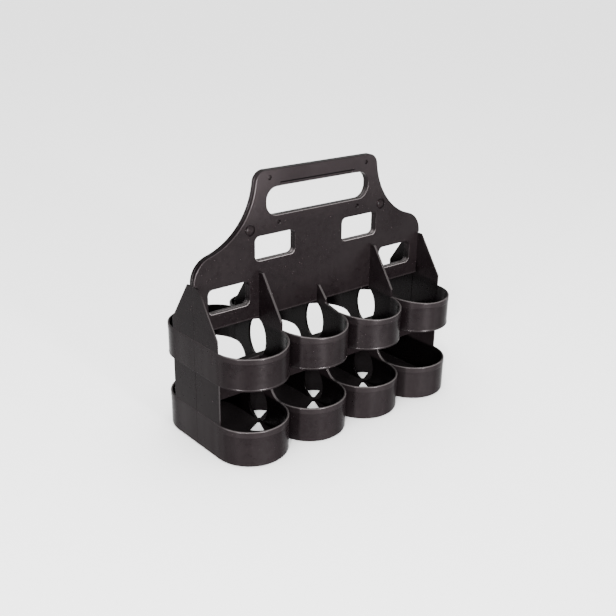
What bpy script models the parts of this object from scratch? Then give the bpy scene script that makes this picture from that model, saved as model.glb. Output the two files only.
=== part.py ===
"""Carrier for eight round bottles: two equal half mouldings set back to back.

Each half is a grip plate, a middle panel, end walls, dividers, four ring bands and four cups.
Six rivets hold the halves together. X runs along the carrier, the front faces -Y, Z is up,
and the origin is on the floor under the middle.
"""
import math

import bpy
import bmesh
from mathutils import Matrix, Vector

MM = 0.001

# Pocket grid
POCKETS = 4
PITCH = 85 * MM
RING_OVERLAP = 0.5 * MM
WALL = 2.2 * MM
DIVIDER = 3 * MM
END_WALL = 2.4 * MM
FLOOR = 2.4 * MM
GAP = 0.3 * MM
OVERRUN = 5 * MM
WELD = 0.0005 * MM

# Levels, each from the one below
CUP_HEIGHT = 43 * MM
GAP_HEIGHT = 48 * MM
RING_HEIGHT = 37 * MM
RIM_RISE = 4 * MM
FOOT_ROUND = 2 * MM
PLATE_ABOVE_RING = 7.5 * MM
PLATE_HEIGHT = 165 * MM
PANEL_ABOVE_CUP = 5 * MM
PANEL_BELOW_RING = 3 * MM

# Grip plate of one half: its face lies PLATE_FACE in front of the parting plane
PLATE_FACE = 4.5 * MM
SKIN = 2.4 * MM
FLANGE = 2.4 * MM
GRIP_CORNER = 14 * MM
SWEEP_RADIUS = 82.8 * MM
SHOULDER_RADIUS = 28.3 * MM
WINDOW_CORNER = 6 * MM
SCOOP_RADIUS = 8 * MM
SCOOP_DEPTH = 2 * MM

# Layout of the grip plate: across as shares of half the length, up as shares of the plate's height
GRIP_SHARE = 0.526
SHOULDER_SHARE = 0.334
SLOT_SHARES = (0.442, 0.69, 0.883)
SLOT_CORNER_SHARE = 0.455
SCOOP_SHARE = 0.328
MID_WINDOW_SHARES = (0.208, 0.535, 0.398, 0.57)
END_WINDOW_SHARES = (0.581, 0.9, 0.107, 0.278)
SMALL_RIVET_SHARES = ((0.416, 0.948), (0.343, 0.641))
LARGE_RIVET_SHARES = (0.573, 0.622)

# Dividers and end walls: a sloping gusset above the ring, an opening at the plate, a cut-back
# edge in the gap between ring and cup
GUSSET_BELOW_SHOULDER = 1.5 * MM
GUSSET_LEDGE = 6 * MM
GUSSET_FOOT_RISE = 13.5 * MM
CENTRE_GUSSET_RISE = 20 * MM
CENTRE_GUSSET_LEDGE = 2.5 * MM
CENTRE_GUSSET_REACH = 15 * MM
CENTRE_GUSSET_STEP = 5 * MM
CUTBACK_DEPTH = 18 * MM
CUTBACK_CORNER_SHARE = 0.94
END_WALL_LIP = 2 * MM
BAND_STEP = 0.6 * MM
UPPER_OPENING_HALF_WIDTH = 16 * MM
LOWER_OPENING_HALF_WIDTH = 18.5 * MM
OPENING_TUCK = 2 * MM

# Drain hole in a cup floor, at the inner corner on its right, beside a divider
DRAIN_NEAR = 4 * MM
DRAIN_FAR = 27 * MM
DRAIN_FROM_DEG = 29
DRAIN_TO_DEG = 69

# Rivets through both halves
SMALL_RIVET_RADIUS = 2 * MM
SMALL_RECESS_RADIUS = 2.9 * MM
SMALL_RECESS_DEPTH = 0.8 * MM
LARGE_RIVET_RADIUS = 3 * MM
LARGE_HEAD_RADIUS = 5.4 * MM
LARGE_HEAD_RISE = 1.5 * MM
LARGE_RECESS_RADIUS = 6.3 * MM
LARGE_RECESS_DEPTH = 1 * MM
BOSS_WALL = 1.5 * MM

# Fineness of the round stretches
RING_STEPS = 24
CORNER_STEPS = 6
FOOT_STEPS = 2
SWEEP_STEPS = 14
OPENING_STEPS = 16
ROUND_SIDES = 20
SADDLE_SIDES = 192

# Sizes that follow
RING_RADIUS = PITCH / 2 + RING_OVERLAP
INNER_RADIUS = RING_RADIUS - WALL
POCKET_OUT = PITCH - RING_RADIUS
HALF_LENGTH = (POCKETS - 1) / 2 * PITCH + RING_RADIUS
PLATE_END = HALF_LENGTH - END_WALL - GAP
DIVIDER_FRONT = POCKET_OUT - GAP / 2
POCKET_CENTRES = [(i - (POCKETS - 1) / 2) * PITCH for i in range(POCKETS)]
DIVIDER_PLACES = [(i - (POCKETS - 2) / 2) * PITCH for i in range(POCKETS - 1)]
SADDLE_RADIUS = (RING_RADIUS**2 + RIM_RISE**2) / (2 * RIM_RISE)
RING_BOTTOM = CUP_HEIGHT + GAP_HEIGHT
RING_TOP = RING_BOTTOM + RING_HEIGHT
PLATE_BOTTOM = RING_TOP + PLATE_ABOVE_RING
HEIGHT = PLATE_BOTTOM + PLATE_HEIGHT
SHOULDER_LEVEL = PLATE_BOTTOM + SHOULDER_SHARE * PLATE_HEIGHT
PANEL_BOTTOM = CUP_HEIGHT + PANEL_ABOVE_CUP
PANEL_TOP = RING_BOTTOM - PANEL_BELOW_RING
GRIP_HALF = GRIP_SHARE * HALF_LENGTH
GUSSET_TOP = SHOULDER_LEVEL - GUSSET_BELOW_SHOULDER
GUSSET_FOOT = RING_TOP + GUSSET_FOOT_RISE
CENTRE_GUSSET_TOP = PLATE_BOTTOM + CENTRE_GUSSET_RISE
CUTBACK_OUT = DIVIDER_FRONT - CUTBACK_DEPTH
CUTBACK_CORNER = CUTBACK_CORNER_SHARE * CUTBACK_DEPTH

# Frames that turn a flat outline: local X, Y, Z go to the world axes named
FACING_FRONT = Matrix(((1, 0, 0), (0, 0, -1), (0, 1, 0))).to_4x4()
FACING_END = Matrix(((0, 0, -1), (-1, 0, 0), (0, 1, 0))).to_4x4()
LYING = Matrix.Identity(4)


def clear_scene():
    for item in list(bpy.data.objects):
        bpy.data.objects.remove(item, do_unlink=True)


def new_collection(name):
    collection = bpy.data.collections.new(name)
    bpy.context.scene.collection.children.link(collection)
    return collection


def plastic(name, colour, roughness):
    material = bpy.data.materials.new(name)
    material.use_nodes = True
    shader = material.node_tree.nodes["Principled BSDF"]
    shader.inputs["Base Color"].default_value = (*colour, 1)
    shader.inputs["Roughness"].default_value = roughness
    shader.inputs["Metallic"].default_value = 0
    return material


def arc(centre_x, centre_y, radius, start_deg, end_deg, steps, radius_y=None):
    """Points of a round or oval stretch, ends included."""
    across = radius
    along = radius if radius_y is None else radius_y
    turn = [math.radians(start_deg + (end_deg - start_deg) * i / steps) for i in range(steps + 1)]
    return [(centre_x + across * math.cos(t), centre_y + along * math.sin(t)) for t in turn]


def rounded_box(left, bottom, width, height, corner, grow=0):
    """Closed outline of a rounded rectangle, grown all round."""
    low_x, low_y = left - grow, bottom - grow
    high_x, high_y = left + width + grow, bottom + height + grow
    radius = corner + grow
    points = arc(low_x + radius, low_y + radius, radius, 180, 270, CORNER_STEPS)
    points += arc(high_x - radius, low_y + radius, radius, 270, 360, CORNER_STEPS)
    points += arc(high_x - radius, high_y - radius, radius, 0, 90, CORNER_STEPS)
    points += arc(low_x + radius, high_y - radius, radius, 90, 180, CORNER_STEPS)
    return points


def mirrored(points):
    """The outline's right half, followed back along its mirror image in X."""
    return points + [(-x, y) for x, y in reversed(points)]


def mesh_from(item):
    """The evaluated mesh of an object, welded, with its modifiers in it."""
    graph = bpy.context.evaluated_depsgraph_get()
    mesh = bpy.data.meshes.new_from_object(item.evaluated_get(graph))
    work = bmesh.new()
    work.from_mesh(mesh)
    bmesh.ops.remove_doubles(work, verts=work.verts, dist=WELD)
    bmesh.ops.recalc_face_normals(work, faces=work.faces)
    work.to_mesh(mesh)
    work.free()
    return mesh


def merge_flat_faces(target):
    """Joins the slivers that a filled outline or a cut leaves in its flat faces."""
    work = bmesh.new()
    work.from_mesh(target.data)
    bmesh.ops.dissolve_limit(
        work, angle_limit=math.radians(1), verts=work.verts, edges=work.edges
    )
    work.to_mesh(target.data)
    work.free()


def outline_solid(name, outlines, low, high, frame, collection):
    """A flat outline with its holes, filled and extruded from low to high along its normal."""
    curve = bpy.data.curves.new(name, "CURVE")
    curve.dimensions = "2D"
    curve.fill_mode = "BOTH"
    curve.extrude = (high - low) / 2
    for points in outlines:
        spline = curve.splines.new("POLY")
        spline.points.add(len(points) - 1)
        for point, (x, y) in zip(spline.points, points):
            point.co = (x, y, 0, 1)
        spline.use_cyclic_u = True
    flat = bpy.data.objects.new(name + "_outline", curve)
    collection.objects.link(flat)
    mesh = mesh_from(flat)
    bpy.data.objects.remove(flat, do_unlink=True)
    mesh.transform(frame @ Matrix.Translation((0, 0, (high + low) / 2)))
    solid = bpy.data.objects.new(name, mesh)
    collection.objects.link(solid)
    merge_flat_faces(solid)
    return solid


def round_bar(name, radius, low, high, frame, collection, sides=ROUND_SIDES):
    """A cylinder along the frame's Z, from low to high."""
    mesh = bpy.data.meshes.new(name)
    work = bmesh.new()
    bmesh.ops.create_cone(
        work, cap_ends=True, segments=sides, radius1=radius, radius2=radius, depth=high - low
    )
    work.to_mesh(mesh)
    work.free()
    mesh.transform(frame @ Matrix.Translation((0, 0, (high + low) / 2)))
    bar = bpy.data.objects.new(name, mesh)
    collection.objects.link(bar)
    return bar


def block(name, centre, half_sizes, collection):
    """A box, from its centre and its half sizes."""
    mesh = bpy.data.meshes.new(name)
    work = bmesh.new()
    bmesh.ops.create_cube(work, size=2)
    work.to_mesh(mesh)
    work.free()
    mesh.transform(Matrix.Translation(centre) @ Matrix.Diagonal((*half_sizes, 1)))
    box = bpy.data.objects.new(name, mesh)
    collection.objects.link(box)
    return box


def turned(name, profile, collection):
    """A closed turned solid about Z, from a profile of (radius, distance) down its outer side."""
    mesh = bpy.data.meshes.new(name)
    work = bmesh.new()
    verts = [work.verts.new((r, 0, d)) for r, d in profile]
    for first, second in zip(verts, verts[1:]):
        work.edges.new((first, second))
    work.to_mesh(mesh)
    work.free()
    item = bpy.data.objects.new(name, mesh)
    collection.objects.link(item)
    spin = item.modifiers.new("turn", "SCREW")
    spin.steps = spin.render_steps = ROUND_SIDES
    spin.use_merge_vertices = True
    spin.merge_threshold = WELD
    item.data = mesh_from(item)
    item.modifiers.clear()
    return item


def both_ways(half_profile):
    """A profile and its mirror image on the other side of the parting plane."""
    return half_profile + [(r, -d) for r, d in reversed(half_profile)]


def carve(target, cutter, solver="EXACT"):
    """Cuts one solid with another and drops the cutter."""
    cutter.display_type = "WIRE"
    cutter.hide_render = True
    step = target.modifiers.new("carve", "BOOLEAN")
    step.operation = "DIFFERENCE"
    step.solver = solver
    step.object = cutter
    mesh = mesh_from(target)
    target.modifiers.clear()
    target.data = mesh
    bpy.data.objects.remove(cutter, do_unlink=True)


def soften(target, width, chosen):
    """Rounds the edges that chosen(edge) picks."""
    work = bmesh.new()
    work.from_mesh(target.data)
    edges = [edge for edge in work.edges if chosen(edge)]
    bmesh.ops.bevel(
        work, geom=edges, offset=width, offset_type="OFFSET", segments=FOOT_STEPS,
        profile=0.5, affect="EDGES", clamp_overlap=True,
    )
    work.to_mesh(target.data)
    work.free()


def shade(target):
    mesh = target.data
    mesh.shade_smooth()
    mesh.set_sharp_from_angle(angle=math.radians(35))


# One ring band and one cup, drawn around the pocket's own centre with the front at -Y

def band_side(side, open_end):
    """Where a band ends beside its neighbour, or beside nothing at the carrier's end."""
    reach = RING_RADIUS if open_end else PITCH / 2 - GAP / 2
    turn = math.degrees(math.acos(min(1, reach / RING_RADIUS)))
    return side * reach, turn


def band_outline(left_open, right_open):
    """Plan of a half-round band, from its left end round the front to its right end."""
    left_x, left_turn = band_side(-1, left_open)
    right_x, right_turn = band_side(1, right_open)
    back = -GAP / 2
    points = [(left_x, back)]
    points += arc(0, 0, RING_RADIUS, 180 + max(left_turn, 1), 360 - max(right_turn, 1), RING_STEPS)
    points += [(right_x, back)]
    points += arc(0, 0, INNER_RADIUS, 359.5, 180.5, RING_STEPS)
    return points


def make_ring(name, left_open, right_open, scrap):
    ring = outline_solid(
        name, [band_outline(left_open, right_open)], RING_BOTTOM, RING_TOP + RIM_RISE, LYING, scrap
    )
    saddle = round_bar(
        name + "_saddle", SADDLE_RADIUS, -2 * RING_RADIUS, 2 * RING_RADIUS,
        Matrix.Translation((0, 0, RING_TOP + SADDLE_RADIUS)) @ FACING_FRONT, scrap,
        SADDLE_SIDES,
    )
    carve(ring, saddle)
    merge_flat_faces(ring)
    return ring


def drain_outline():
    """A wedge at the pocket's inner right corner, where four pockets meet."""
    corner_x, corner_y = PITCH / 2, POCKET_OUT
    near = arc(0, 0, DRAIN_NEAR, DRAIN_TO_DEG, DRAIN_FROM_DEG, 2)
    far = arc(0, 0, DRAIN_FAR, DRAIN_FROM_DEG, DRAIN_TO_DEG, CORNER_STEPS)
    return [(corner_x - x, corner_y - y) for x, y in near + far]


def make_cup(name, left_open, right_open, scrap):
    left_x, _ = band_side(-1, left_open)
    right_x, _ = band_side(1, right_open)
    back = POCKET_OUT - GAP / 2
    floor_left = -(INNER_RADIUS - GAP) if left_open else -(PITCH / 2 - DIVIDER / 2 - GAP)
    floor_right = INNER_RADIUS - GAP if right_open else PITCH / 2 - DIVIDER / 2 - GAP
    band = band_outline(left_open, right_open)
    outer = band[: RING_STEPS + 3]
    plan = outer + [(floor_right, -GAP / 2), (floor_right, back), (floor_left, back),
                    (floor_left, -GAP / 2)]
    cup = outline_solid(name, [plan], 0, CUP_HEIGHT, LYING, scrap)
    hollow = arc(0, 0, INNER_RADIUS, 180, 360, RING_STEPS)
    wide = RING_RADIUS + OVERRUN
    hollow += [(INNER_RADIUS, -GAP / 2), (wide, -GAP / 2), (wide, back + OVERRUN),
               (-wide, back + OVERRUN), (-wide, -GAP / 2), (-INNER_RADIUS, -GAP / 2)]
    carve(cup, outline_solid(name + "_hollow", [hollow], FLOOR, CUP_HEIGHT + OVERRUN, LYING, scrap))
    if not right_open:
        drain = outline_solid(
            name + "_drain", [drain_outline()], -OVERRUN, FLOOR + OVERRUN, LYING, scrap
        )
        carve(cup, drain)
    merge_flat_faces(cup)

    def under_the_wall(edge):
        return all(vert.co.z < WELD and vert.co.y < 0 for vert in edge.verts) and any(
            face.normal.z > -0.5 for face in edge.link_faces
        ) and all(math.hypot(vert.co.x, vert.co.y) > INNER_RADIUS for vert in edge.verts)

    soften(cup, FOOT_ROUND, under_the_wall)
    return cup


# Dividers and end walls, drawn as (distance in front of the parting plane, height)

def plate_side_openings():
    """The divider's inner edge, up past the lower opening, the panel and the upper opening."""
    seat = PLATE_FACE + GAP
    lower_half = (PANEL_BOTTOM - FLOOR) / 2
    lower_centre = FLOOR + lower_half
    upper_half = (PLATE_BOTTOM - PANEL_TOP) / 2
    upper_centre = PANEL_TOP - OPENING_TUCK + upper_half
    lower_end = math.degrees(math.acos(seat / LOWER_OPENING_HALF_WIDTH))
    upper_end = math.degrees(math.acos(seat / UPPER_OPENING_HALF_WIDTH))
    start = math.degrees(math.acos(GAP / 2 / LOWER_OPENING_HALF_WIDTH))
    points = arc(0, lower_centre, LOWER_OPENING_HALF_WIDTH, -start, lower_end,
                 OPENING_STEPS, lower_half)
    points += arc(0, upper_centre, UPPER_OPENING_HALF_WIDTH, -upper_end, upper_end,
                  OPENING_STEPS, upper_half)
    return points


def divider_outline(gusset):
    """Side view of a divider, from the given gusset down its front edge and back up inside."""
    corner_out = CUTBACK_OUT + CUTBACK_CORNER
    points = list(gusset)
    points += [(DIVIDER_FRONT, RING_BOTTOM)]
    points += arc(corner_out, RING_BOTTOM - CUTBACK_CORNER, CUTBACK_CORNER, 90, 180, CORNER_STEPS)
    points += arc(corner_out, CUP_HEIGHT + CUTBACK_CORNER, CUTBACK_CORNER, 180, 270, CORNER_STEPS)
    points += [(DIVIDER_FRONT, CUP_HEIGHT), (DIVIDER_FRONT, 0), (GAP / 2, 0)]
    points += plate_side_openings()
    return points


def side_gusset(inner):
    """Top of the outer dividers and the end walls: a ledge at the plate and a long slope."""
    return [(inner, GUSSET_TOP), (PLATE_FACE + GUSSET_LEDGE, GUSSET_TOP),
            (DIVIDER_FRONT, GUSSET_FOOT)]


def centre_gusset():
    """Top of the middle divider: a short slope, a step and a low web out to the rings."""
    inner = PLATE_FACE + GAP
    reach = PLATE_FACE + CENTRE_GUSSET_REACH
    web = GUSSET_FOOT - CENTRE_GUSSET_STEP
    return [(inner, CENTRE_GUSSET_TOP), (PLATE_FACE + CENTRE_GUSSET_LEDGE, CENTRE_GUSSET_TOP),
            (reach, GUSSET_FOOT), (reach, web), (DIVIDER_FRONT, RING_TOP + RIM_RISE)]


def make_divider(name, gusset, scrap):
    divider = outline_solid(
        name, [divider_outline(gusset)], -DIVIDER / 2, DIVIDER / 2, FACING_END, scrap
    )
    merge_flat_faces(divider)
    return divider


def make_end_wall(name, side, scrap):
    """End wall with the levels of the band and the cup standing slightly proud outside."""
    lip = DIVIDER_FRONT + END_WALL_LIP
    points = side_gusset(GAP / 2)
    points += [(DIVIDER_FRONT, RING_BOTTOM - GAP), (lip, RING_BOTTOM - GAP),
               (lip, CUP_HEIGHT + GAP), (DIVIDER_FRONT, CUP_HEIGHT + GAP),
               (DIVIDER_FRONT, 0), (GAP / 2, 0)]
    wall = outline_solid(name, [points], -END_WALL / 2, END_WALL / 2, FACING_END, scrap)
    beyond = side * (END_WALL / 2 - BAND_STEP + OVERRUN)
    for low, high in ((CUP_HEIGHT, RING_BOTTOM), (RING_TOP, GUSSET_TOP + OVERRUN)):
        sunk = block(name + "_sunk", (beyond, 0, (low + high) / 2),
                     (OVERRUN, RING_RADIUS + OVERRUN, (high - low) / 2), scrap)
        carve(wall, sunk)
    merge_flat_faces(wall)
    return wall


# Grip plate and middle panel, drawn as (x, height)

def touching_centre(first, first_reach, second, second_reach):
    """The point on the right of two points that lies at the given reach from each."""
    start, end = Vector(first), Vector(second)
    apart = (end - start).length
    along = (end - start) / apart
    foot = (first_reach**2 - second_reach**2 + apart**2) / (2 * apart)
    aside = math.sqrt(first_reach**2 - foot**2)
    return start + along * foot + Vector((-along.y, along.x)) * aside


def plate_outline(inset=0):
    """Front view of the plate: grip, concave sweeps, shoulders and straight sides."""
    grip_x = GRIP_HALF - GRIP_CORNER
    grip_z = HEIGHT - GRIP_CORNER
    shoulder_x = HALF_LENGTH - SHOULDER_RADIUS
    sweep_x, sweep_z = touching_centre(
        (grip_x, grip_z), SWEEP_RADIUS + GRIP_CORNER,
        (shoulder_x, SHOULDER_LEVEL), SWEEP_RADIUS + SHOULDER_RADIUS,
    )
    leave = math.degrees(math.atan2(sweep_z - grip_z, sweep_x - grip_x))
    touch = math.degrees(math.atan2(sweep_z - SHOULDER_LEVEL, sweep_x - shoulder_x))
    shoulder = SHOULDER_RADIUS - inset
    side_x = PLATE_END - inset if inset else HALF_LENGTH
    last = math.degrees(math.acos(min(1, (side_x - shoulder_x) / shoulder)))
    right = arc(grip_x, grip_z, GRIP_CORNER - inset, 90, leave, CORNER_STEPS)
    right += arc(sweep_x, sweep_z, SWEEP_RADIUS + inset, 180 + leave, 180 + touch, SWEEP_STEPS)[1:]
    right += arc(shoulder_x, SHOULDER_LEVEL, shoulder, touch, last, CORNER_STEPS)[1:]
    right += [(side_x, PLATE_BOTTOM + inset)]
    return mirrored(right)


def across_and_up(across_share, up_share):
    """A place on the plate from its shares of half the length and of the plate's height."""
    return across_share * HALF_LENGTH, PLATE_BOTTOM + up_share * PLATE_HEIGHT


def plate_openings(grow=0):
    """The grip slot and the four windows."""
    reach, low, high = SLOT_SHARES
    slot_x, slot_low = across_and_up(reach, low)
    _, slot_high = across_and_up(reach, high)
    slot_height = slot_high - slot_low
    boxes = [rounded_box(-slot_x, slot_low, 2 * slot_x, slot_height,
                         SLOT_CORNER_SHARE * slot_height, grow)]
    for inner, outer, low, high in (MID_WINDOW_SHARES, END_WINDOW_SHARES):
        near_x, low_z = across_and_up(inner, low)
        far_x, high_z = across_and_up(outer, high)
        length, height = far_x - near_x, high_z - low_z
        boxes.append(rounded_box(near_x, low_z, length, height, WINDOW_CORNER, grow))
        boxes.append(rounded_box(-far_x, low_z, length, height, WINDOW_CORNER, grow))
    return boxes


def rivet_frame(x, z):
    return Matrix.Translation((x, 0, z)) @ FACING_FRONT


def rivet_places():
    """Every rivet as (x, z, shank radius, recess radius, recess depth)."""
    places = []
    for side in (-1, 1):
        for shares in SMALL_RIVET_SHARES:
            x, z = across_and_up(*shares)
            places.append((side * x, z, SMALL_RIVET_RADIUS, SMALL_RECESS_RADIUS,
                           SMALL_RECESS_DEPTH))
        x, z = across_and_up(*LARGE_RIVET_SHARES)
        places.append((side * x, z, LARGE_RIVET_RADIUS, LARGE_RECESS_RADIUS, LARGE_RECESS_DEPTH))
    return places


def make_scoop(scrap):
    """A round-ended bar that hollows the lower edge of the grip for the fingers."""
    reach, level = across_and_up(SCOOP_SHARE, SLOT_SHARES[2])
    end = arc(0, reach - SCOOP_RADIUS, SCOOP_RADIUS, 90, 0, CORNER_STEPS)
    end[0] = (0, end[0][1])
    bar = turned("scoop", both_ways(end), scrap)
    out = PLATE_FACE + SCOOP_RADIUS - SCOOP_DEPTH
    along_x = Matrix.Rotation(math.radians(90), 4, "Y")
    bar.data.transform(Matrix.Translation((0, -out, level)) @ along_x)
    return bar


def make_plate(name, scrap):
    """Skin with a flange round every edge, hollow at the back, with bosses for the rivets."""
    plate = outline_solid(name, [plate_outline()], GAP / 2, PLATE_FACE, FACING_FRONT, scrap)
    hollow = outline_solid(
        name + "_hollow", [plate_outline(FLANGE)], -OVERRUN, PLATE_FACE - SKIN, FACING_FRONT, scrap
    )
    for opening, flange in zip(plate_openings(), plate_openings(FLANGE)):
        carve(hollow, outline_solid(
            name + "_flange", [flange], -2 * OVERRUN, 2 * OVERRUN, FACING_FRONT, scrap
        ), "MANIFOLD")
        carve(plate, outline_solid(
            name + "_opening", [opening], -2 * OVERRUN, 2 * OVERRUN, FACING_FRONT, scrap
        ), "MANIFOLD")
    for x, z, shank, recess, _ in rivet_places():
        boss = round_bar(
            name + "_boss", max(shank + GAP, recess) + BOSS_WALL, -2 * OVERRUN, 2 * OVERRUN,
            rivet_frame(x, z), scrap,
        )
        carve(hollow, boss, "MANIFOLD")
    carve(plate, hollow, "MANIFOLD")
    for side in (-1, 1):
        notch = block(name + "_notch", (side * (PLATE_END + OVERRUN), 0, 0),
                      (OVERRUN, OVERRUN, GUSSET_TOP + GAP), scrap)
        carve(plate, notch, "MANIFOLD")
    for x, z, shank, recess, depth in rivet_places():
        bore, seat, beyond = shank + GAP, PLATE_FACE - depth, PLATE_FACE + OVERRUN
        profile = [(0, beyond), (recess, beyond), (recess, seat), (bore, seat),
                   (bore, -OVERRUN), (0, -OVERRUN)]
        hole = turned(name + "_rivet_hole", profile, scrap)
        hole.data.transform(rivet_frame(x, z))
        carve(plate, hole, "MANIFOLD")
    carve(plate, make_scoop(scrap), "MANIFOLD")
    merge_flat_faces(plate)
    return plate


def make_panel(name, scrap):
    """The strip of plate behind the gap between rings and cups, hollow at the back."""
    box = [(-PLATE_END, PANEL_BOTTOM), (PLATE_END, PANEL_BOTTOM),
           (PLATE_END, PANEL_TOP), (-PLATE_END, PANEL_TOP)]
    inner = PLATE_END - FLANGE
    low, high = PANEL_BOTTOM + FLANGE, PANEL_TOP - FLANGE
    panel = outline_solid(name, [box], GAP / 2, PLATE_FACE, FACING_FRONT, scrap)
    recess = [(-inner, low), (inner, low), (inner, high), (-inner, high)]
    carve(panel, outline_solid(
        name + "_hollow", [recess], -OVERRUN, PLATE_FACE - SKIN, FACING_FRONT, scrap
    ))
    merge_flat_faces(panel)
    return panel


# Rivets through both halves

def make_small_rivet(name, scrap):
    end = PLATE_FACE - SMALL_RECESS_DEPTH / 2
    chamfer = SMALL_RIVET_RADIUS / 4
    half = [(0, end), (SMALL_RIVET_RADIUS - chamfer, end), (SMALL_RIVET_RADIUS, end - chamfer)]
    return turned(name, both_ways(half), scrap)


def make_large_rivet(name, scrap):
    """A shank with a domed head in the recess at each face."""
    seat = PLATE_FACE - LARGE_RECESS_DEPTH + GAP
    crown = (LARGE_HEAD_RADIUS**2 + LARGE_HEAD_RISE**2) / (2 * LARGE_HEAD_RISE)
    spread = math.degrees(math.asin(LARGE_HEAD_RADIUS / crown))
    dome = arc(0, seat + LARGE_HEAD_RISE + GAP - crown, crown, 90, 90 - spread, CORNER_STEPS)
    half = dome + [(LARGE_HEAD_RADIUS, seat), (LARGE_RIVET_RADIUS, seat)]
    half[0] = (0, half[0][1])
    return turned(name, both_ways(half), scrap)


def place(name, source, parent, spot, collection, material):
    """A named copy of a piece at its spot, carried by its half."""
    piece = bpy.data.objects.new(name, source.data)
    piece.location = spot
    piece.parent = parent
    collection.objects.link(piece)
    if not piece.data.materials:
        piece.data.materials.append(material)
    shade(piece)
    return piece


def build():
    clear_scene()
    parts = new_collection("bottle_carrier")
    scrap = new_collection("cutters")
    black = plastic("black_polypropylene", (0.035, 0.031, 0.032), 0.42)
    rivet_black = plastic("black_rivet", (0.03, 0.028, 0.028), 0.35)

    rings = {
        "left": make_ring("ring_left", True, False, scrap),
        "middle": make_ring("ring_middle", False, False, scrap),
        "right": make_ring("ring_right", False, True, scrap),
    }
    cups = {
        "left": make_cup("cup_left", True, False, scrap),
        "middle": make_cup("cup_middle", False, False, scrap),
        "right": make_cup("cup_right", False, True, scrap),
    }
    side_divider = make_divider("divider_side", side_gusset(PLATE_FACE + GAP), scrap)
    centre_divider = make_divider("divider_centre", centre_gusset(), scrap)
    end_walls = {side: make_end_wall("end_wall", side, scrap) for side in (-1, 1)}
    plate = make_plate("plate", scrap)
    panel = make_panel("panel", scrap)
    small_rivet = make_small_rivet("small_rivet", scrap)
    large_rivet = make_large_rivet("large_rivet", scrap)

    for half_name, turn in (("front", 0), ("rear", math.pi)):
        half = bpy.data.objects.new(half_name + "_half", None)
        half.rotation_euler = (0, 0, turn)
        parts.objects.link(half)
        place(half_name + "_grip_plate", plate, half, (0, 0, 0), parts, black)
        place(half_name + "_middle_panel", panel, half, (0, 0, 0), parts, black)
        for i, centre in enumerate(POCKET_CENTRES):
            kind = "left" if i == 0 else "right" if i == POCKETS - 1 else "middle"
            spot = (centre, -POCKET_OUT, 0)
            place(f"{half_name}_ring_{i + 1}", rings[kind], half, spot, parts, black)
            place(f"{half_name}_cup_{i + 1}", cups[kind], half, spot, parts, black)
        for i, x in enumerate(DIVIDER_PLACES):
            source = centre_divider if abs(x) < PITCH / 2 else side_divider
            place(f"{half_name}_divider_{i + 1}", source, half, (x, 0, 0), parts, black)
        for side_name, side in (("left", -1), ("right", 1)):
            spot = (side * (HALF_LENGTH - END_WALL / 2), 0, 0)
            place(f"{half_name}_end_wall_{side_name}", end_walls[side], half, spot, parts, black)

    number = 0
    for side_name, side in (("left", -1), ("right", 1)):
        for shares in SMALL_RIVET_SHARES:
            x, z = across_and_up(*shares)
            number += 1
            rivet = place(f"small_rivet_{number}", small_rivet, None, (side * x, 0, z),
                          parts, rivet_black)
            rivet.rotation_euler = (math.radians(90), 0, 0)
        x, z = across_and_up(*LARGE_RIVET_SHARES)
        rivet = place(f"large_rivet_{side_name}", large_rivet, None, (side * x, 0, z),
                      parts, rivet_black)
        rivet.rotation_euler = (math.radians(90), 0, 0)

    for item in list(scrap.objects):
        bpy.data.objects.remove(item, do_unlink=True)


build()
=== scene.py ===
"""Looks for the bottle carrier.

Fine mouldings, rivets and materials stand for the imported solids, in the same frame.
Front pieces are built in millimetres and end up in metres, and the rear half is a
copy of the front one, turned about the vertical.
"""
import math

import bpy
import bmesh
from mathutils import Matrix, Vector


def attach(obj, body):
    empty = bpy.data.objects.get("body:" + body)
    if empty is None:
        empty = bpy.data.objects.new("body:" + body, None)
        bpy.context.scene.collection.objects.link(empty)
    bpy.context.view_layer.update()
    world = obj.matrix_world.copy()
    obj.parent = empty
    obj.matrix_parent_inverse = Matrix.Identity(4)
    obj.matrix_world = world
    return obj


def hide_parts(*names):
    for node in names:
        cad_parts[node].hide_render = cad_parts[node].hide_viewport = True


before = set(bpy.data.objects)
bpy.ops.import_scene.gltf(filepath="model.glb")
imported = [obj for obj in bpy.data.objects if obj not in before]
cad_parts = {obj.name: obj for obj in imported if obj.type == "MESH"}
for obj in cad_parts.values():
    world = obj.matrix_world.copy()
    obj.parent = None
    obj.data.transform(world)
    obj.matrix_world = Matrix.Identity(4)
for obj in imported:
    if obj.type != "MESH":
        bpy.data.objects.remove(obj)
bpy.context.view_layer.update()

MM = 0.001

# Sizes in millimetres, as in the solids
PITCH = 85.0
CENTRES = [-1.5 * PITCH, -0.5 * PITCH, 0.5 * PITCH, 1.5 * PITCH]
DIVIDERS = [-PITCH, 0.0, PITCH]
RING_R = 43.0
OUT = 42.0                      # from the seam to the middle of a pocket
HALF = 170.5                    # half of the carrier's length
CUP_TOP = 43.0
BAND_LOW = 91.0
BAND_TOP = 128.0
BAND_COLLAR, CUP_COLLAR = 6.6, 7.0
RIM_RISE = 4.0                  # how far a ring's rim rises towards its dividers
SADDLE = (RING_R**2 + RIM_RISE**2) / (2 * RIM_RISE)
FLOOR = 2.4
PLATE_LOW = 135.5
TOP = 300.5
FACE = 4.5                      # the grip plate's face, in front of the seam
SEAM = 0.005                    # half of the gap between the two halves
SEAM_EDGE = 0.4                 # bevel at the seam
PLATE_EDGE, PANEL_EDGE = 1.0, 0.6
SLOT_EDGE, WINDOW_EDGE = 0.7, 0.5
SLOT_CORNER, WINDOW_CORNER = 14.5, 6.0
DIVIDER_EDGE, END_WALL_EDGE = 0.55, 0.7
WALL_FACE = 169.9               # outer face of an end wall
WALL_BACK = 168.1               # its inner face
SEAT = 3.2                      # where a divider ends short of the seam
DIVIDER_FRONT = 43.6
DIVIDER_THICK = 3.0
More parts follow.
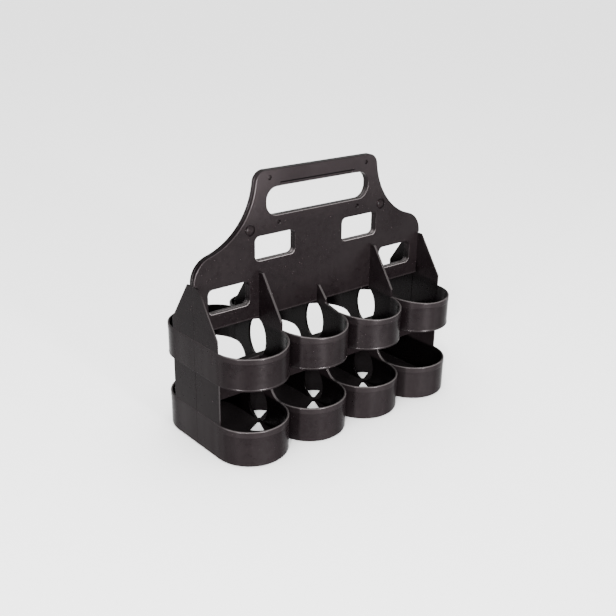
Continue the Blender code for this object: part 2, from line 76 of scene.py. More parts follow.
WALL_THICK, WALL_THINS = 2.3, 0.32   # in front, and how much less at the sides
STRAIGHT_WALL = 1.9             # thickness where an end pocket's wall runs straight
STRAIGHT_RUN = (-0.15, -12, -26, -37, -39.5)

# Boxes on the plate and the middle panel, as (left, bottom, right, top), and the
# rivets as (x, z). Windows and rivets are those on the right
SLOT = (-75.35, 249.35, 75.35, 281.2)
WINDOWS = ((35.5, 201.2, 91.2, 229.5), (99.1, 153.2, 153.4, 181.4))
SLIT = (-57.0, 284.5, 54.0, 286.0)
BEAD = (-168.4, PLATE_LOW + 0.1, 168.4, PLATE_LOW + 1.5)
MIDDLE_PANEL = (-168.8, 48.0, 168.8, 88.0)
SMALL_RIVETS = [(70.9, 291.9), (58.5, 241.3)]
LARGE_RIVET = (97.7, 238.1)

# Steps of the finer arcs
ROUND_STEPS = 56
CORNER_STEPS = 5
EDGE_STEPS = 4
CROWN_STEPS = 8

FLAT_ANGLE = math.radians(0.05)
SHARP_ANGLE = math.radians(38)


# Meshes

def arc(cx, cy, radius, start, end, steps, radius_y=None):
    """Points from one angle to another, in degrees, also on an upright ellipse."""
    ry = radius if radius_y is None else radius_y
    turn = [math.radians(start + (end - start) * i / steps) for i in range(steps + 1)]
    return [(cx + radius * math.cos(t), cy + ry * math.sin(t)) for t in turn]


def add_object(name, data):
    item = bpy.data.objects.new(name, data)
    bpy.context.scene.collection.objects.link(item)
    return item


def finish_mesh(name, work):
    """Turns a bmesh in millimetres into an object in metres with outward faces."""
    bmesh.ops.remove_doubles(work, verts=work.verts, dist=0.002)
    bmesh.ops.dissolve_degenerate(work, edges=work.edges, dist=0.0005)
    bmesh.ops.recalc_face_normals(work, faces=work.faces)
    mesh = bpy.data.meshes.new(name)
    bmesh.ops.scale(work, vec=(MM, MM, MM), verts=work.verts)
    work.to_mesh(mesh)
    work.free()
    return add_object(name, mesh)


def loft(name, rings):
    """A closed solid from rings of points with equal counts, capped at both ends."""
    work = bmesh.new()
    rows = [[work.verts.new(p) for p in ring] for ring in rings]
    count = len(rows[0])
    for low, high in zip(rows, rows[1:]):
        for i in range(count):
            j = (i + 1) % count
            work.faces.new((low[i], low[j], high[j], high[i]))
    work.faces.new(rows[0])
    work.faces.new(rows[-1])
    return finish_mesh(name, work)


def turned(name, profile, x, z, sides=40):
    """A solid turned about the axis through (x, z).

    The profile is a list of (radius, depth in front of the seam).
    """
    work = bmesh.new()
    rows = []
    for radius, depth in profile:
        if radius == 0:
            rows.append([work.verts.new((x, -depth, z))])
            continue
        turn = [2 * math.pi * i / sides for i in range(sides)]
        rows.append([
            work.verts.new((x + radius * math.cos(t), -depth, z + radius * math.sin(t)))
            for t in turn
        ])
    for low, high in zip(rows, rows[1:]):
        for i in range(sides):
            j = (i + 1) % sides
            if len(low) == 1:
                work.faces.new((low[0], high[j], high[i]))
            elif len(high) == 1:
                work.faces.new((low[i], low[j], high[0]))
            else:
                work.faces.new((low[i], low[j], high[j], high[i]))
    return finish_mesh(name, work)


def both_ways(half):
    """A turned profile that is the same in front of the seam and behind it."""
    return half + [(radius, -depth) for radius, depth in reversed(half)]


def evaluated_mesh(target):
    graph = bpy.context.evaluated_depsgraph_get()
    return bpy.data.meshes.new_from_object(target.evaluated_get(graph))


def boolean(target, cutter, operation="DIFFERENCE"):
    step = target.modifiers.new("cut", "BOOLEAN")
    step.operation = operation
    step.solver = "MANIFOLD"
    step.object = cutter
    mesh = evaluated_mesh(target)
    target.modifiers.clear()
    target.data = mesh
    bpy.data.objects.remove(cutter, do_unlink=True)


def dissolve_flats(work):
    bmesh.ops.dissolve_limit(
        work, angle_limit=FLAT_ANGLE, verts=work.verts, edges=work.edges
    )


def smooth(target):
    target.data.shade_smooth()
    target.data.set_sharp_from_angle(angle=SHARP_ANGLE)
    weight = target.modifiers.new("weights", "WEIGHTED_NORMAL")
    weight.mode = "FACE_AREA"
    weight.weight = 100
    weight.keep_sharp = True


def turned_about(target):
    """The rear half's copy: half a turn about the vertical."""
    mesh = target.data.copy()
    mesh.transform(Matrix.Rotation(math.pi, 4, "Z"))
    copy = target.copy()
    copy.data = mesh
    bpy.context.scene.collection.objects.link(copy)
    return copy


# Walls round the pockets

def pocket_path(cx, left_end, right_end):
    """Stations (x, y, nx, ny, straight) from the left, round the front, to the right.

    The outer side of an end pocket runs straight back to the seam.
    """
    path = []
    if left_end:
        path += [(cx - RING_R, y, -1, 0, True) for y in STRAIGHT_RUN]
    for i in range(ROUND_STEPS + 1):
        t = math.pi + math.pi * i / ROUND_STEPS
        nx, ny = math.cos(t), math.sin(t)
        path.append((cx + RING_R * nx, -OUT + RING_R * ny, nx, ny, False))
    if right_end:
        path += [(cx + RING_R, y, 1, 0, True) for y in reversed(STRAIGHT_RUN)]
    return path


def rim_height(nx):
    across = abs(nx) * RING_R
    return SADDLE - math.sqrt(SADDLE**2 - across**2)


def wall_thickness(nx):
    return WALL_THICK - WALL_THINS * nx**8


def lip(top, inner):
    """Rounded top edge, from the outer face over to the inner one."""
    wide, tight = 1.2, 0.65
    return (arc(-wide, top - wide, wide, 0, 90, 5)
            + arc(inner + tight, top - tight, tight, 90, 180, 4))


def collar_step(side, foot):
    """From the side, which lies back a little, out to the collar from foot upwards."""
    return [(side, foot - 0.7), (side * 0.85, foot - 0.4),
            (side * 0.15, foot - 0.1), (0.0, foot + 0.2)]


def band_section(top, thick, sunk):
    """Section of a ring band, as (outward, height) from its lower inner corner."""
    inner, low = -thick, 0.35
    side = -0.35 * sunk
    points = arc(inner + low, BAND_LOW + low, low, 180, 270, 4)
    points += arc(-low, BAND_LOW + low, low, 270, 360, 4)
    points += [(0.0, BAND_LOW + 1.5), (side / 3, BAND_LOW + 1.9),
               (side, BAND_LOW + 2.3)]
    points += collar_step(side, top - BAND_COLLAR)
    points += lip(top, inner)
    return points


def cup_section(top, thick, sunk):
    """Section of a cup's wall and the rim of its floor, as (outward, height)."""
    inner, foot, fillet, reach = -thick, 2.6, 1.3, 3.7
    side = -0.3 * sunk
    low, high = 0.04, FLOOR - 0.04
    points = [(-reach, high), (-reach, low)]
    points += arc(side - foot, foot + low, foot, 270, 360, 7)
    points += collar_step(side, top - CUP_COLLAR)
    points += lip(top, inner)
    points += arc(inner - fillet, high + fillet, fillet, 0, -90, 5)
    return points


def make_wall(name, cx, left_end, right_end, section, top, saddle):
    """A wall round one pocket. With saddle, its rim rises towards the dividers."""
    rings = []
    for x, y, nx, ny, straight in pocket_path(cx, left_end, right_end):
        level = not saddle or (left_end and nx < 0) or (right_end and nx > 0)
        rise = 0 if level else rim_height(nx)
        thick = STRAIGHT_WALL if straight else wall_thickness(nx)
        points = section(top + rise, thick, abs(ny) ** 0.4)
        rings.append([(x + nx * n, y + ny * n, z) for n, z in points])
    return loft(name, rings)


# Dividers and end walls, as side views of (distance in front of the seam, height)

SIDEWAYS = Matrix(((0, 0, -1, 0), (-1, 0, 0, 0), (0, 1, 0, 0), (0, 0, 0, 1)))


def rounded_sheet(name, outline, low, high, edge):
    """A side view made into a sheet between two places along the carrier.

    Its edges are rounded, and low and high count towards the left.
    """
    curve = bpy.data.curves.new(name, "CURVE")
    curve.dimensions = "2D"
    curve.fill_mode = "BOTH"
    curve.extrude = (high - low) / 2 - edge
    curve.bevel_depth = edge
    curve.bevel_resolution = 2
    curve.offset = -edge
    spline = curve.splines.new("POLY")
    spline.points.add(len(outline) - 1)
    for point, (x, y) in zip(spline.points, outline):
        point.co = (x, y, 0, 1)
    spline.use_cyclic_u = True
    flat = add_object(name + "_curve", curve)
    mesh = evaluated_mesh(flat)
    bpy.data.objects.remove(flat, do_unlink=True)
    mesh.transform(SIDEWAYS @ Matrix.Translation((0, 0, (high + low) / 2)))
    work = bmesh.new()
    work.from_mesh(mesh)
    dissolve_flats(work)
    return finish_mesh(name, work)


def rounded_path(points, corners):
    """Replaces the named corners of an open outline by arcs of the given radii."""
    result = []
    for i, (x, y) in enumerate(points):
        radius = corners.get(i)
        if radius is None:
            result.append((x, y))
            continue
        here = Vector((x, y))
        back = (Vector(points[i - 1]) - here).normalized()
        ahead = (Vector(points[i + 1]) - here).normalized()
        half = math.acos(max(-1, min(1, back.dot(ahead)))) / 2
        reach = radius / math.tan(half)
        centre = here + (back + ahead).normalized() * (radius / math.sin(half))
        start = here + back * reach - centre
        end = here + ahead * reach - centre
        first = math.atan2(start.y, start.x)
        swing = math.atan2(start.x * end.y - start.y * end.x, start.dot(end))
        for k in range(CORNER_STEPS + 1):
            a = first + swing * k / CORNER_STEPS
            result.append((centre.x + radius * math.cos(a),
                           centre.y + radius * math.sin(a)))
    return result


def side_gusset(inner, front):
    """The slanting top of an outer divider or an end wall."""
    points = [(inner - 1, 189.0), (inner, 189.0), (10.8, 189.0), (front, 141.2),
              (front, 120.0)]
    return rounded_path(points, {2: 3.0, 3: 2.0})[1:-1]


def centre_gusset(inner, front):
    """The lower, stepped top of the middle divider."""
    points = [(inner - 1, 155.5), (inner, 155.5), (7.0, 155.5), (19.8, 141.3),
              (19.6, 136.6), (front, 131.2), (front, 120.0)]
    return rounded_path(points, {2: 1.6, 3: 1.2, 4: 1.0})[1:-1]


def divider_outline(gusset):
    """A divider, cut back in front and scooped out by two openings at the seam."""
    cut, corner = 23.85, 17.0
    lower_mid, lower_reach, lower_half = 25.2, 18.5, 22.8
    upper_mid, upper_reach, upper_half = 109.75, 16.0, 23.75
    points = gusset(SEAT, DIVIDER_FRONT) + [(DIVIDER_FRONT, BAND_LOW)]
    points += arc(cut + corner, BAND_LOW - corner, corner, 90, 180, 12)
    points += arc(cut + corner, CUP_TOP + corner, corner, 180, 270, 12)
    points += [(DIVIDER_FRONT, CUP_TOP), (DIVIDER_FRONT, 1.0), (SEAM, 1.0)]
    start = math.degrees(math.acos(SEAM / lower_reach))
    end = math.degrees(math.acos(SEAT / lower_reach))
    points += arc(0, lower_mid, lower_reach, -start, end, 26, lower_half)
    end = math.degrees(math.acos(SEAT / upper_reach))
    points += arc(0, upper_mid, upper_reach, -end, end, 26, upper_half)
    return points


def make_divider(name, x, gusset):
    low, high = -x - DIVIDER_THICK / 2, -x + DIVIDER_THICK / 2
    return rounded_sheet(name, divider_outline(gusset), low, high, DIVIDER_EDGE)


def make_end_wall(name, side):
    front, lip_front, foot, overlap = 43.4, 44.6, 2.6, 4
    points = side_gusset(SEAM, front)
    points += [(front, BAND_LOW + overlap), (lip_front, BAND_LOW + overlap),
               (lip_front, CUP_TOP - overlap), (front, CUP_TOP - overlap),
               (front, foot), (SEAM, foot)]
    low, high = sorted((-side * WALL_FACE, -side * WALL_BACK))
    return rounded_sheet(name, points, low, high, END_WALL_EDGE)


# Grip plate and middle panel

def touching_centre(first, first_reach, second, second_reach):
    """The point at a given reach from each of two others, to the left between them."""
    start, end = Vector(first), Vector(second)
    apart = (end - start).length
    along = (end - start) / apart
    foot = (first_reach**2 - second_reach**2 + apart**2) / (2 * apart)
    aside = math.sqrt(first_reach**2 - foot**2)
    return start + along * foot + Vector((-along.y, along.x)) * aside


def plate_outline(inset):
    """The plate's outline: a corner, a sweep inwards, a shoulder, a straight side."""
    corner, sweep_r, shoulder_r = 14.0, 82.8, 28.3
    foot_x, foot_z = 168.6, 189.4
    grip_x, grip_z = 89.68 - corner, TOP - corner
    shoulder_x, shoulder_z = HALF - shoulder_r, 190.61
    sweep_x, sweep_z = touching_centre((grip_x, grip_z), sweep_r + corner,
                                       (shoulder_x, shoulder_z), sweep_r + shoulder_r)
    leave = math.degrees(math.atan2(sweep_z - grip_z, sweep_x - grip_x))
    touch = math.degrees(math.atan2(sweep_z - shoulder_z, sweep_x - shoulder_x))
    right = arc(grip_x, grip_z, corner - inset, 90, leave, 12)
    right += arc(sweep_x, sweep_z, sweep_r + inset, 180 + leave, 180 + touch, 34)[1:]
    right += arc(shoulder_x, shoulder_z, shoulder_r - inset, touch, 0, 14)[1:]
    right += [(HALF - inset, foot_z + inset), (foot_x - inset, foot_z + inset),
              (foot_x - inset, PLATE_LOW + inset)]
    return right + [(-x, z) for x, z in reversed(right)]


def rounded_box(box, corner, grow, steps):
    """A box (left, bottom, right, top) with rounded corners, grown all round."""
    left, bottom, right, top = box
    left, bottom, right, top = left - grow, bottom - grow, right + grow, top + grow
    r = corner + grow
    points = arc(left + r, bottom + r, r, 180, 270, steps)
    points += arc(right - r, bottom + r, r, 270, 360, steps)
    points += arc(right - r, top - r, r, 0, 90, steps)
    points += arc(left + r, top - r, r, 90, 180, steps)
    return points


def in_front(points, depth):
    return [(x, -depth, z) for x, z in points]


def edge_levels(face_edge):
    """(depth, inset) pairs from the seam to the face, rounded at the face."""
    levels = [(SEAM, SEAM_EDGE), (SEAM + SEAM_EDGE, 0)]
    for i in range(EDGE_STEPS + 1):
        a = math.radians(90 * i / EDGE_STEPS)
        levels.append((FACE - face_edge + face_edge * math.sin(a),
                       face_edge - face_edge * math.cos(a)))
    return levels


def opening_cutter(name, box, corner, face_edge, steps):
    """A cutter for an opening, flared at the face and the seam for rounded edges."""
    levels = [(-2.0, SEAM_EDGE)] + edge_levels(face_edge) + [(FACE + 3.0, face_edge)]
    return loft(name, [in_front(rounded_box(box, corner, grow, steps), depth)
                       for depth, grow in levels])


def plain_block(name, box, corner, back, front):
    points = rounded_box(box, corner, 0.0, 4)
    return loft(name, [in_front(points, back), in_front(points, front)])


# Recess and through hole of each rivet, as (radius, depth in front of the seam)
SMALL_HOLE = [(0, 8), (2.9, 8), (2.7, FACE), (2.6, FACE - 0.15), (2.6, FACE - 2.4),
              (2.3, FACE - 2.4), (2.3, -3), (0, -3)]
LARGE_HOLE = [(0, 8), (6.9, 8), (6.6, FACE), (6.45, FACE - 0.2), (6.4, FACE - 1.5),
              (3.3, FACE - 1.5), (3.3, -3), (0, -3)]
HOLES = [(*spot, SMALL_HOLE) for spot in SMALL_RIVETS] + [(*LARGE_RIVET, LARGE_HOLE)]


def scoop_cutter():
    """A long round-ended bar that cuts the finger recess over the hand slot."""
    radius, straight = 8, 54
    half = [(0, -straight - radius)]
    for degrees in range(10, 91, 10):
        a = math.radians(degrees)
        half.append((radius * math.sin(a), -straight - radius * math.cos(a)))
    cutter = turned("scoop", both_ways(half), 0, 0, 48)
    cutter.data.transform(
        Matrix.Translation((0, -(FACE + 6.6) * MM, 281.0 * MM))
        @ Matrix.Rotation(math.radians(90), 4, "Z")
    )
    return cutter


def make_plate(name):
    """One half of the grip plate, with its openings, recesses, slit and foot bead."""
    plate = loft(name, [in_front(plate_outline(inset), depth)
                        for depth, inset in edge_levels(PLATE_EDGE)])
    boolean(plate, opening_cutter("slot", SLOT, SLOT_CORNER, SLOT_EDGE, 12))
    for side in (-1, 1):
        for near, bottom, far, top in WINDOWS:
            left, right = sorted((side * near, side * far))
            boolean(plate, opening_cutter("window", (left, bottom, right, top),
                                          WINDOW_CORNER, WINDOW_EDGE, 8))
        for x, z, profile in HOLES:
            boolean(plate, turned("hole", profile, side * x, z))
    boolean(plate, scoop_cutter())
    boolean(plate, plain_block("slit", SLIT, 0.7, FACE - 3.7, FACE + 1.0))
    boolean(plate, plain_block("bead", BEAD, 0.6, FACE - 0.5, FACE + 0.25), "UNION")
    work = bmesh.new()
    work.from_mesh(plate.data)
    dissolve_flats(work)
    work.to_mesh(plate.data)
    work.free()
    return plate


def make_panel(name):
    return loft(name, [in_front(rounded_box(MIDDLE_PANEL, 0.7, -inset, 3), depth)
                       for depth, inset in edge_levels(PANEL_EDGE)])


# Floor and rivets

def make_floor(name):
    """Floor slab of one half, scalloped inside the cups' feet, with its drain holes."""
    margin = 3.0
    near, far, start, end = 4.0, 27.0, 29, 69
    outline = [(-HALF + margin, -SEAM)]
    for cx in CENTRES:
        outline += arc(cx, -OUT, RING_R - margin, 180, 360, 32)
    outline += [(HALF - margin, -SEAM)]
    slab = loft(name, [[(x, y, z) for x, y in outline] for z in (0.0, FLOOR)])
    wedge = arc(0, 0, near, end, start, 3) + arc(0, 0, far, start, end, 10)
    for x in DIVIDERS:
        cut = loft("drain", [[(x - px, -py, z) for px, py in wedge] for z in (-2, 5)])
        boolean(slab, cut)
    return slab


def make_small_rivet(name, x, z):
    """A flat head with a rounded edge, below the face."""
    end = FACE - 1.5
    half = [(0, end), (0.9, end), (1.55, end - 0.12), (1.9, end - 0.5),
            (2.0, end - 0.9)]
    return turned(name, both_ways(half), x, z, 32)


def make_large_rivet(name, x, z):
    """A dome on a short straight rim, seated in its recess."""
    radius, shank, rim = 5.4, 3.0, 0.25
    seat = FACE - 1.25
    crown = FACE + 0.7
    half = [(0, crown)]
    for i in range(1, CROWN_STEPS + 1):
        a = math.radians(90 * i / CROWN_STEPS)
        half.append((radius * math.sin(a) ** 0.9,
                     seat + rim + (crown - seat - rim) * math.cos(a)))
    half += [(radius, seat), (shank, seat)]
    return turned(name, both_ways(half), x, z, 48)


# Materials

class Shade:
    """One new material, with short calls that add nodes and return their outputs."""

    def __init__(self, name):
        self.material = bpy.data.materials.new(name)
        self.material.use_nodes = True
        self.tree = self.material.node_tree
        self.shader = self.tree.nodes["Principled BSDF"]

    def feed(self, socket, value):
        """An output is linked. A number, vector or colour is set on the socket."""
        if isinstance(value, bpy.types.NodeSocket):
            self.tree.links.new(value, socket)
        else:
            socket.default_value = (*value, 1) if socket.type == "RGBA" else value

    def add(self, kind, sockets, **settings):
        """A node with its own settings, its input sockets fed by name or number."""
        node = self.tree.nodes.new(kind)
        for setting, value in settings.items():
            setattr(node, setting, value)
        for socket, value in sockets.items():
            self.feed(node.inputs[socket], value)
        return node

    def split(self, vector):
        outputs = self.add("ShaderNodeSeparateXYZ", {"Vector": vector}).outputs
        return outputs["X"], outputs["Y"], outputs["Z"]

    def noise(self, coords, scale, detail, rough):
        return self.add("ShaderNodeTexNoise", {
            "Scale": scale, "Detail": detail, "Roughness": rough, "Vector": coords,
        }).outputs["Fac"]

    def bump(self, height, strength, distance):
        return self.add("ShaderNodeBump", {
            "Strength": strength, "Distance": distance, "Height": height,
        })

    def spread(self, value, span, first, last):
        """Runs from first to last while the value runs over the span."""
        return self.add("ShaderNodeMapRange", {
            "From Min": span[0], "From Max": span[1], "To Min": first, "To Max": last,
            "Value": value,
        }).outputs["Result"]

    def rise(self, value, span, most=1.0):
        return self.spread(value, span, 0.0, most)

    def fall(self, value, span, most=1.0):
        return self.spread(value, span, most, 0.0)

    def maths(self, operation, a, b=0.0):
        return self.add("ShaderNodeMath", {0: a, 1: b}, operation=operation).outputs[0]

    def absolute(self, value):
        return self.maths("ABSOLUTE", value)

    def plus(self, a, b):
        return self.maths("ADD", a, b)

    def times(self, a, b):
        return self.maths("MULTIPLY", a, b)

    def larger(self, a, b):
        return self.maths("MAXIMUM", a, b)

    def blend(self, factor, a, b):
        return self.add("ShaderNodeMix", {"Factor": factor, "A": a, "B": b},
                        data_type="RGBA").outputs["Result"]


# Noises as (scale, detail, roughness)
FLOW = (14, 2.0, 0.5)
WAVE = (30, 2.0, 0.5)
STREAK = (60, 1.0, 0.5)
MOTTLE = (160, 4.0, 0.6)
SCUFF = (420, 3.0, 0.65)
GRAIN = (1500, 2.0, 0.5)

# Where a look fades in or out, in metres. Heights first, then distances sideways
RUBBED_FEET = (0.0, 0.006)
CLEAR_OF_FEET = (0.012, 0.02)
# Painted light fades out up the walls over this height
LIGHTER_LOW_WALLS = (0.0, 0.06)
CUT_EDGE_LOW, CUT_EDGE_HIGH = (0.047, 0.049), (0.112, 0.116)
PLATE_FOOT = (0.1368, 0.1376)
POCKETS_TOP = (0.165, 0.19)
RIM_START, RIM_CORNER = (0.193, 0.2), (0.284, 0.290)
WINDOWS_TOP, SLOT_TOP = (0.212, 0.218), (0.285, 0.292)
# Painted light fades in up the grip over the first of these heights
LIGHTER_GRIP, GRIP_CORNER, SMOOTH_GRIP = (0.235, 0.295), (0.235, 0.285), (0.24, 0.285)
WINDOWS_SIDE, SLOT_SIDE = (0.094, 0.098), (0.077, 0.081)
LEFT_OF_GRIP = (-0.09, -0.04)
CARRIER_END, OUTER_FACE = (0.168, 0.1692), (0.1690, 0.1700)
COLLAR_FADE = 0.001

# Then distances from the seam, either way
FRONT_OF_SEAM = (0.002, 0.003)
CUT_EDGE_DEPTH = (0.0438, 0.0442)

# The plate's rim lies beyond a half width that narrows from one height to the other
RIM_HEIGHTS, RIM_WIDTHS = (0.181, 0.290), (0.156, 0.0604)
RIM_FADE = (0.0, 0.003)

# The colour of painted light and highlights, and how much of it is painted on each
# place
PAINTED_LIGHT_TONE = (0.03, 0.025, 0.026)
LOW_PAINTED_LIGHT, GRIP_PAINTED_LIGHT, CORNER_PAINTED_LIGHT = 0.02, 0.06, 0.07
RIM_PAINTED_HIGHLIGHT, FOOT_PAINTED_HIGHLIGHT, COLLAR_PAINTED_LIGHT = 0.15, 0.05, 0.032

# How far rubbed feet lighten, the colour of the painted highlight on cut edges and the
# tint of the sheen
RUB_SHARE, RUB_GAIN = 0.35, 3.2
CUT_EDGE_HIGHLIGHT = (0.0042, 0.0038, 0.0039)
SHEEN = (1.0, 0.91, 0.93)

# Parameters of the surface: noise range, roughness range and bumps in metres
MIDDLE_OF_NOISE, MOST_OF_NOISE = (0.35, 0.65), (0.3, 0.7)
GRAIN_DEPTH = 0.0002
WAVE_STRENGTH, WAVE_DEPTH = 0.08, 0.002


def rim_and_foot(s, aside, y, height, facing, up):
    """How much painted highlight goes on the rounding of the plate's rim and on its
    foot.
    """
    across = s.absolute(facing)
    rounding = s.times(s.rise(across, (0.2, 0.5), RIM_PAINTED_HIGHLIGHT),
                       s.fall(across, (0.85, 0.97)))
    beyond = s.maths("SUBTRACT", aside, s.spread(height, RIM_HEIGHTS, *RIM_WIDTHS))
    outer = s.times(s.rise(beyond, RIM_FADE),
                    s.times(s.fall(height, RIM_CORNER), s.rise(up, (-0.3, -0.1))))
    clear = s.larger(s.rise(s.absolute(y), FRONT_OF_SEAM),
                     s.rise(height, RIM_START, 0.6))
    rim = s.times(rounding, s.times(outer, clear))
    return rim, s.fall(height, PLATE_FOOT, FOOT_PAINTED_HIGHLIGHT)


def collar_faces(s, aside, height, collars):
    """How much painted light goes on raised collars and the carrier's outermost faces.
    """
    raised = s.rise(aside, OUTER_FACE)
    for bottom, top in collars:
        collar = s.times(s.rise(height, (bottom, bottom + COLLAR_FADE)),
                         s.fall(height, (top, top + COLLAR_FADE)))
        raised = s.larger(raised, collar)
    return s.times(raised, COLLAR_PAINTED_LIGHT)


def moulded_plastic(name, dark, light, rough, grain=0.02, shine=0.041, edge=0.010,
                    collars=(), cut_edges=False, rim_line=False):
    """Satin moulded plastic: fine grain, slow mottling, rubbed patches, painted light
    and highlights.

    grain is the strength of the fine bump, shine the specular level seen face on, and
    edge the colour of the painted highlight on edges that turn up. collars are the
    (bottom, top) heights of raised collars, in metres, which get painted light.
    cut_edges paints a highlight on the front edges of an end wall, and rim_line paints
    highlights on the rounding and the foot of the grip plate.
    """
    s = Shade(name)
    coords = s.add("ShaderNodeTexCoord", {}).outputs["Object"]
    x, y, height = s.split(coords)
    aside = s.absolute(x)
    normal = s.add("ShaderNodeNewGeometry", {}).outputs["Normal"]
    _, facing, up = s.split(normal)
    flow = s.noise(coords, *FLOW)
    mottle = s.noise(coords, *MOTTLE)

    # Painted highlight on edges that turn up, on the pockets and round the windows and
    # the hand slot
    openings = s.larger(
        s.times(s.fall(aside, WINDOWS_SIDE), s.fall(height, WINDOWS_TOP)),
        s.times(s.fall(aside, SLOT_SIDE), s.fall(height, SLOT_TOP, 0.4)))
    zone = s.times(s.rise(height, CLEAR_OF_FEET),
                   s.larger(openings, s.fall(height, POCKETS_TOP)))
    turning = s.rise(up, (0.15, 0.7))
    if rim_line:
        turned_up = s.spread(s.absolute(facing), (0.14, 0.6), 0.25, 1.0)
        turning = s.times(turning, turned_up)
    painted_highlight_mask = s.times(zone, turning)
    if collars:
        painted_highlight_mask = s.times(painted_highlight_mask, s.spread(aside, CARRIER_END, 1.0, 0.4))

    # Mottled ground, rubbed along the foot
    mix = s.plus(s.times(flow, 0.6), s.times(mottle, 0.4))
    ground = s.blend(s.rise(mix, MIDDLE_OF_NOISE), dark, light)
    rubbed = s.times(s.fall(height, RUBBED_FEET),
                     s.rise(s.noise(coords, *SCUFF), (0.5, 0.62)))
    worn = s.blend(s.times(rubbed, RUB_SHARE), ground,
                   tuple(c * RUB_GAIN for c in light))
    # Painted highlight: edges that turn up take the lighter edge colour
    highlighted = s.blend(painted_highlight_mask, worn, (edge, edge * 0.9, edge * 0.9))

    # Painted light: lighter low down, as from the floor's bounce, and up the grip, most
    # of all at its top left
    corner = s.times(s.fall(x, LEFT_OF_GRIP, CORNER_PAINTED_LIGHT), s.rise(height, GRIP_CORNER))
    painted_light = s.plus(s.plus(s.fall(height, LIGHTER_LOW_WALLS, LOW_PAINTED_LIGHT),
                         s.rise(height, LIGHTER_GRIP, GRIP_PAINTED_LIGHT)), corner)
    # Painted highlights on the grip plate's rim and foot, and painted light on collars
    # and outer faces
    if rim_line:
        for line in rim_and_foot(s, aside, y, height, facing, up):
            painted_light = s.plus(painted_light, line)
    if collars:
        painted_light = s.plus(painted_light, collar_faces(s, aside, height, collars))
    tone = s.blend(painted_light, highlighted, PAINTED_LIGHT_TONE)
    # Painted highlight on the front cut edges of an end wall
    if cut_edges:
        band = s.times(s.rise(height, CUT_EDGE_LOW), s.fall(height, CUT_EDGE_HIGH))
        cut = s.times(s.rise(s.absolute(y), CUT_EDGE_DEPTH), band)
        tone = s.blend(cut, tone, CUT_EDGE_HIGHLIGHT)
    s.feed(s.shader.inputs["Base Color"], tone)

    base = s.spread(mottle, MOST_OF_NOISE, rough - 0.025, rough + 0.03)
    slow = s.spread(flow, MOST_OF_NOISE, -0.03, 0.03)
    smoother = s.rise(height, SMOOTH_GRIP, -0.05)
    s.feed(s.shader.inputs["Roughness"], s.plus(s.plus(base, slow), smoother))

    grained = s.bump(s.noise(coords, *GRAIN), grain, GRAIN_DEPTH)
    waved = s.bump(s.noise(coords, *WAVE), WAVE_STRENGTH, WAVE_DEPTH)
    s.feed(waved.inputs["Normal"], grained.outputs["Normal"])
    s.feed(s.shader.inputs["Normal"], waved.outputs["Normal"])

    # The sheen fades on faces seen at a slant, and runs down rings and cups in streaks
    slant = s.add("ShaderNodeLayerWeight", {"Blend": 0.5}).outputs["Facing"]
    gloss = s.spread(slant, (0.30, 0.44), shine, shine * 0.4)
    if collars:
        upright = s.add("ShaderNodeMapping", {"Scale": (1, 1, 0.03), "Vector": coords})
        streaks = s.noise(upright.outputs["Vector"], *STREAK)
        gloss = s.times(gloss, s.spread(streaks, MIDDLE_OF_NOISE, 0.78, 1.25))
    # The plain value serves where the nodes aren't read
    s.shader.inputs["Specular IOR Level"].default_value = shine
    s.feed(s.shader.inputs["Specular IOR Level"], gloss)
    s.feed(s.shader.inputs["Specular Tint"], SHEEN)
    return s.material


BLACK = ((0.0009, 0.0006, 0.0007), (0.0016, 0.0012, 0.0013))
DUSTY_BLACK = ((0.0045, 0.0038, 0.0040), (0.0060, 0.0050, 0.0053))
RIVET_BLACK = ((0.0012, 0.0009, 0.001), (0.0020, 0.0015, 0.0016))
SATIN = 0.28
COLLARS = ((0.0355, 0.0432), (0.1215, 0.1325))

# edge sets the painted highlight on edges that turn up; cut_edges and rim_line paint
# highlights too
BODY = moulded_plastic("black_polypropylene", *BLACK, SATIN)
PLATE = moulded_plastic("grip_polypropylene", *BLACK, SATIN, edge=0.10, rim_line=True)
HOOP = moulded_plastic("ring_polypropylene", *BLACK, SATIN, shine=0.038, edge=0.017,
                       collars=COLLARS)
BASE = moulded_plastic("cup_floor_plastic", *DUSTY_BLACK, 0.6, grain=0.08, shine=0.013)
INNER = moulded_plastic("panel_polypropylene", *BLACK, 0.4, shine=0.010)
WALL = moulded_plastic("end_wall_polypropylene", *BLACK, SATIN, cut_edges=True)
RIVET = moulded_plastic("rivet_plastic", *RIVET_BLACK, 0.15, shine=0.028, edge=0.003)


# Pieces

def dress(piece, material, slot, *nodes):
    piece.data.materials.clear()
    piece.data.materials.append(material)
    smooth(piece)
    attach(piece, "root")
    if nodes:
        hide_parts(*nodes)


def both_halves(piece, node, material):
    """Dresses a front piece and its rear copy.

    Each replaces the node of its half. The floor slabs replace none.
    """
    rear = turned_about(piece)
    rear.name = piece.name.replace("front", "rear")
    dress(piece, material, "black_plastic", *([f"front_{node}"] if node else []))
    dress(rear, material, "black_plastic", *([f"rear_{node}"] if node else []))


for i, cx in enumerate(CENTRES, 1):
    ends = (i == 1, i == len(CENTRES))
    band = make_wall(f"front_band_{i}", cx, *ends, band_section, BAND_TOP, True)
    both_halves(band, f"ring_{i}", HOOP)
    wall = make_wall(f"front_cup_wall_{i}", cx, *ends, cup_section, CUP_TOP, False)
    both_halves(wall, f"cup_{i}", HOOP)

for i, x in enumerate(DIVIDERS, 1):
    gusset = side_gusset if x else centre_gusset
    both_halves(make_divider(f"front_web_{i}", x, gusset), f"divider_{i}", BODY)

for name, side in (("left", -1), ("right", 1)):
    wall = make_end_wall(f"front_end_panel_{name}", side)
    both_halves(wall, f"end_wall_{name}", WALL)

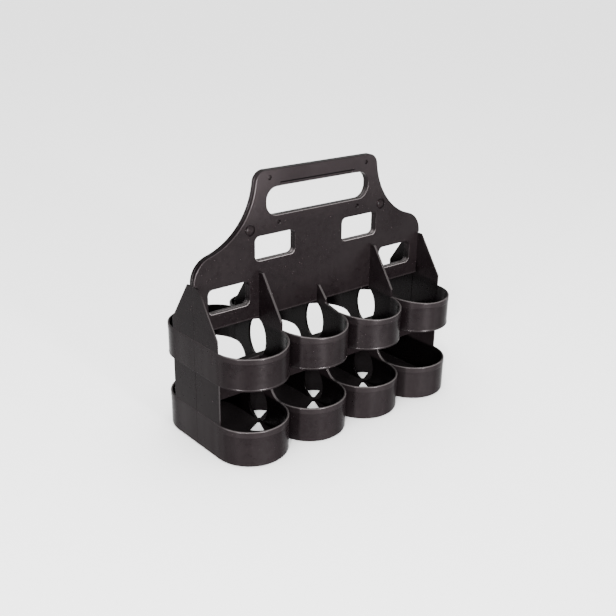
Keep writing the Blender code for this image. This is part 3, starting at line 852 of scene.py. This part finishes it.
both_halves(make_plate("front_plate"), "grip_plate", PLATE)
both_halves(make_panel("front_strip"), "middle_panel", INNER)
both_halves(make_floor("front_floor"), None, BASE)

number = 0
for name, side in (("left", -1), ("right", 1)):
    for x, z in SMALL_RIVETS:
        number += 1
        rivet = make_small_rivet(f"rivet_{number}", side * x, z)
        dress(rivet, RIVET, "rivet_plastic", f"small_rivet_{number}")
    x, z = LARGE_RIVET
    rivet = make_large_rivet(f"button_{name}", side * x, z)
    dress(rivet, RIVET, "rivet_plastic", f"large_rivet_{name}")


# Stage, lights and camera, in metres and degrees

GROUND_REACH = 40
AIM = Vector((0, 0, 0.13))

# Azimuth, elevation, distance, width, height and power of each soft panel
PANELS = {
    "left_panel": (-156, -1.3, 3.0, 0.24, 0.12, 630),
    "right_panel": (-93, -1.3, 3.0, 0.26, 0.12, 1190),
    "front_panel": (-139, 19, 2.2, 0.16, 0.16, 63),
    "high_panel": (-131, 72, 1.7, 1.2, 0.9, 14),
}

# The camera, solved from the photograph in its pixels
PICTURE = 616
FOCAL = 838.6
MIDDLE_X, MIDDLE_Y = 321.06, 312.87
SENSOR = 36
CAMERA_PLACE = (-0.60888, -0.70631, 0.49333)
CAMERA_TURN = (68.061, -1.201, -40.727)


def add_floor():
    work = bmesh.new()
    bmesh.ops.create_grid(work, x_segments=1, y_segments=1, size=GROUND_REACH)
    mesh = bpy.data.meshes.new("ground")
    work.to_mesh(mesh)
    work.free()
    ground = add_object("ground", mesh)
    pale = Shade("pale_floor")
    for socket, value in (("Base Color", (0.9, 0.9, 0.9)), ("Roughness", 0.7),
                          ("Specular IOR Level", 0.1)):
        pale.feed(pale.shader.inputs[socket], value)
    mesh.materials.append(pale.material)


def add_world():
    world = bpy.data.worlds.new("studio")
    world.use_nodes = True
    background = world.node_tree.nodes["Background"]
    background.inputs["Color"].default_value = (1, 1, 1, 1)
    background.inputs["Strength"].default_value = 0.9
    bpy.context.scene.world = world


def add_panel(name, azimuth, elevation, distance, width, height, power):
    """A soft panel at a bearing from the carrier, aimed at its middle."""
    a, e = math.radians(azimuth), math.radians(elevation)
    away = Vector((math.cos(a) * math.cos(e), math.sin(a) * math.cos(e), math.sin(e)))
    light = bpy.data.lights.new(name, "AREA")
    light.shape = "RECTANGLE"
    light.size = width
    light.size_y = height
    light.energy = power
    lamp = add_object(name, light)
    lamp.location = AIM + away * distance
    lamp.rotation_euler = (-away).to_track_quat("-Z", "Y").to_euler()


def add_sky():
    """A wide soft light from nearly straight above."""
    sun = bpy.data.lights.new("sky_panel", "SUN")
    sun.energy = 6.0
    sun.angle = 1.4
    add_object("sky_panel", sun).rotation_euler = (math.radians(-8), math.radians(6), 0)


def add_camera():
    data = bpy.data.cameras.new("camera")
    data.sensor_width = SENSOR
    data.lens = FOCAL / PICTURE * SENSOR
    data.shift_x = (PICTURE / 2 - MIDDLE_X) / PICTURE
    data.shift_y = (MIDDLE_Y - PICTURE / 2) / PICTURE
    data.clip_start = 0.05
    data.clip_end = 50
    camera = add_object("camera", data)
    camera.location = CAMERA_PLACE
    camera.rotation_euler = [math.radians(angle) for angle in CAMERA_TURN]
    bpy.context.scene.camera = camera


add_floor()
add_world()
for name, numbers in PANELS.items():
    add_panel(name, *numbers)
add_sky()
add_camera()
